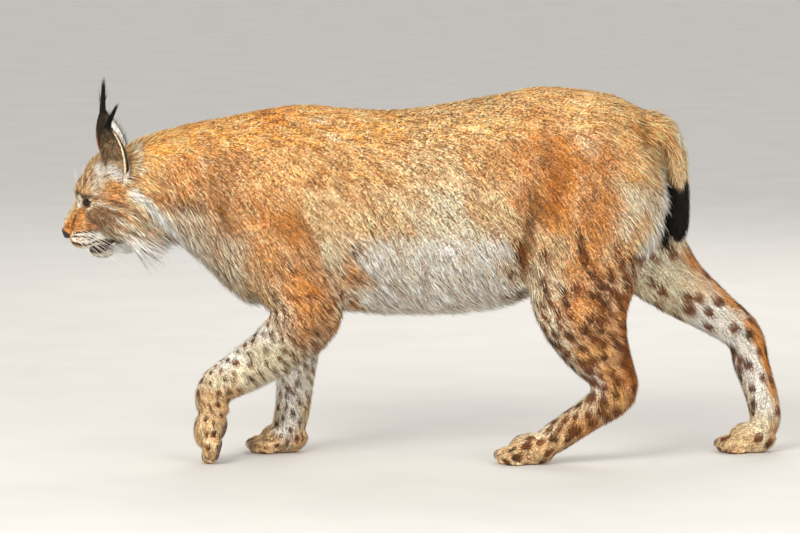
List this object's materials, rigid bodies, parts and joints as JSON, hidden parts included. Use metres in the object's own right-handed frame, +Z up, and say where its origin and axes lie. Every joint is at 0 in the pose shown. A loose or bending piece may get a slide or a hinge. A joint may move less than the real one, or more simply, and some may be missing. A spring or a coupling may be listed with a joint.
{
  "type": "eurasian lynx",
  "caption": "Still life-size model of a walking wild cat with ear tufts, cheek ruff and a short tail, standing on its four paws.",
  "frame": {"origin": "middle of the animal's outer box, on the floor under its belly", "axes": "-X towards the nose, -Y towards the animal's left side, +Z up"},
  "size_m": [1.2067, 0.2388, 0.6233],
  "materials": {
    "coat": "rust tan winter coat with cream streaks and brown spots",
    "leg_coat": "short cream coat with dark brown spots",
    "face_coat": "grey-brown and white face with dark stripes, pale ruff",
    "ear_coat": "black-edged ears with black tufts",
    "nose_leather": "moist dark brown leather",
    "eye": "wet amber eye with a black pupil"
  },
  "bodies": {
    "root": {"head": "face_coat", "neck": "coat", "torso": "coat", "tail": "coat", "thigh_left": "coat", "thigh_right": "coat", "hind_leg_left": "leg_coat", "hind_leg_right": "leg_coat", "hind_paw_left": "leg_coat", "hind_paw_right": "leg_coat", "foreleg_left": "leg_coat", "foreleg_right": "leg_coat", "fore_paw_left": "leg_coat", "fore_paw_right": "leg_coat", "ear_left": "ear_coat", "ear_right": "ear_coat", "nose": "nose_leather", "eye_left": "eye", "eye_right": "eye"}
  },
  "joints": []
}
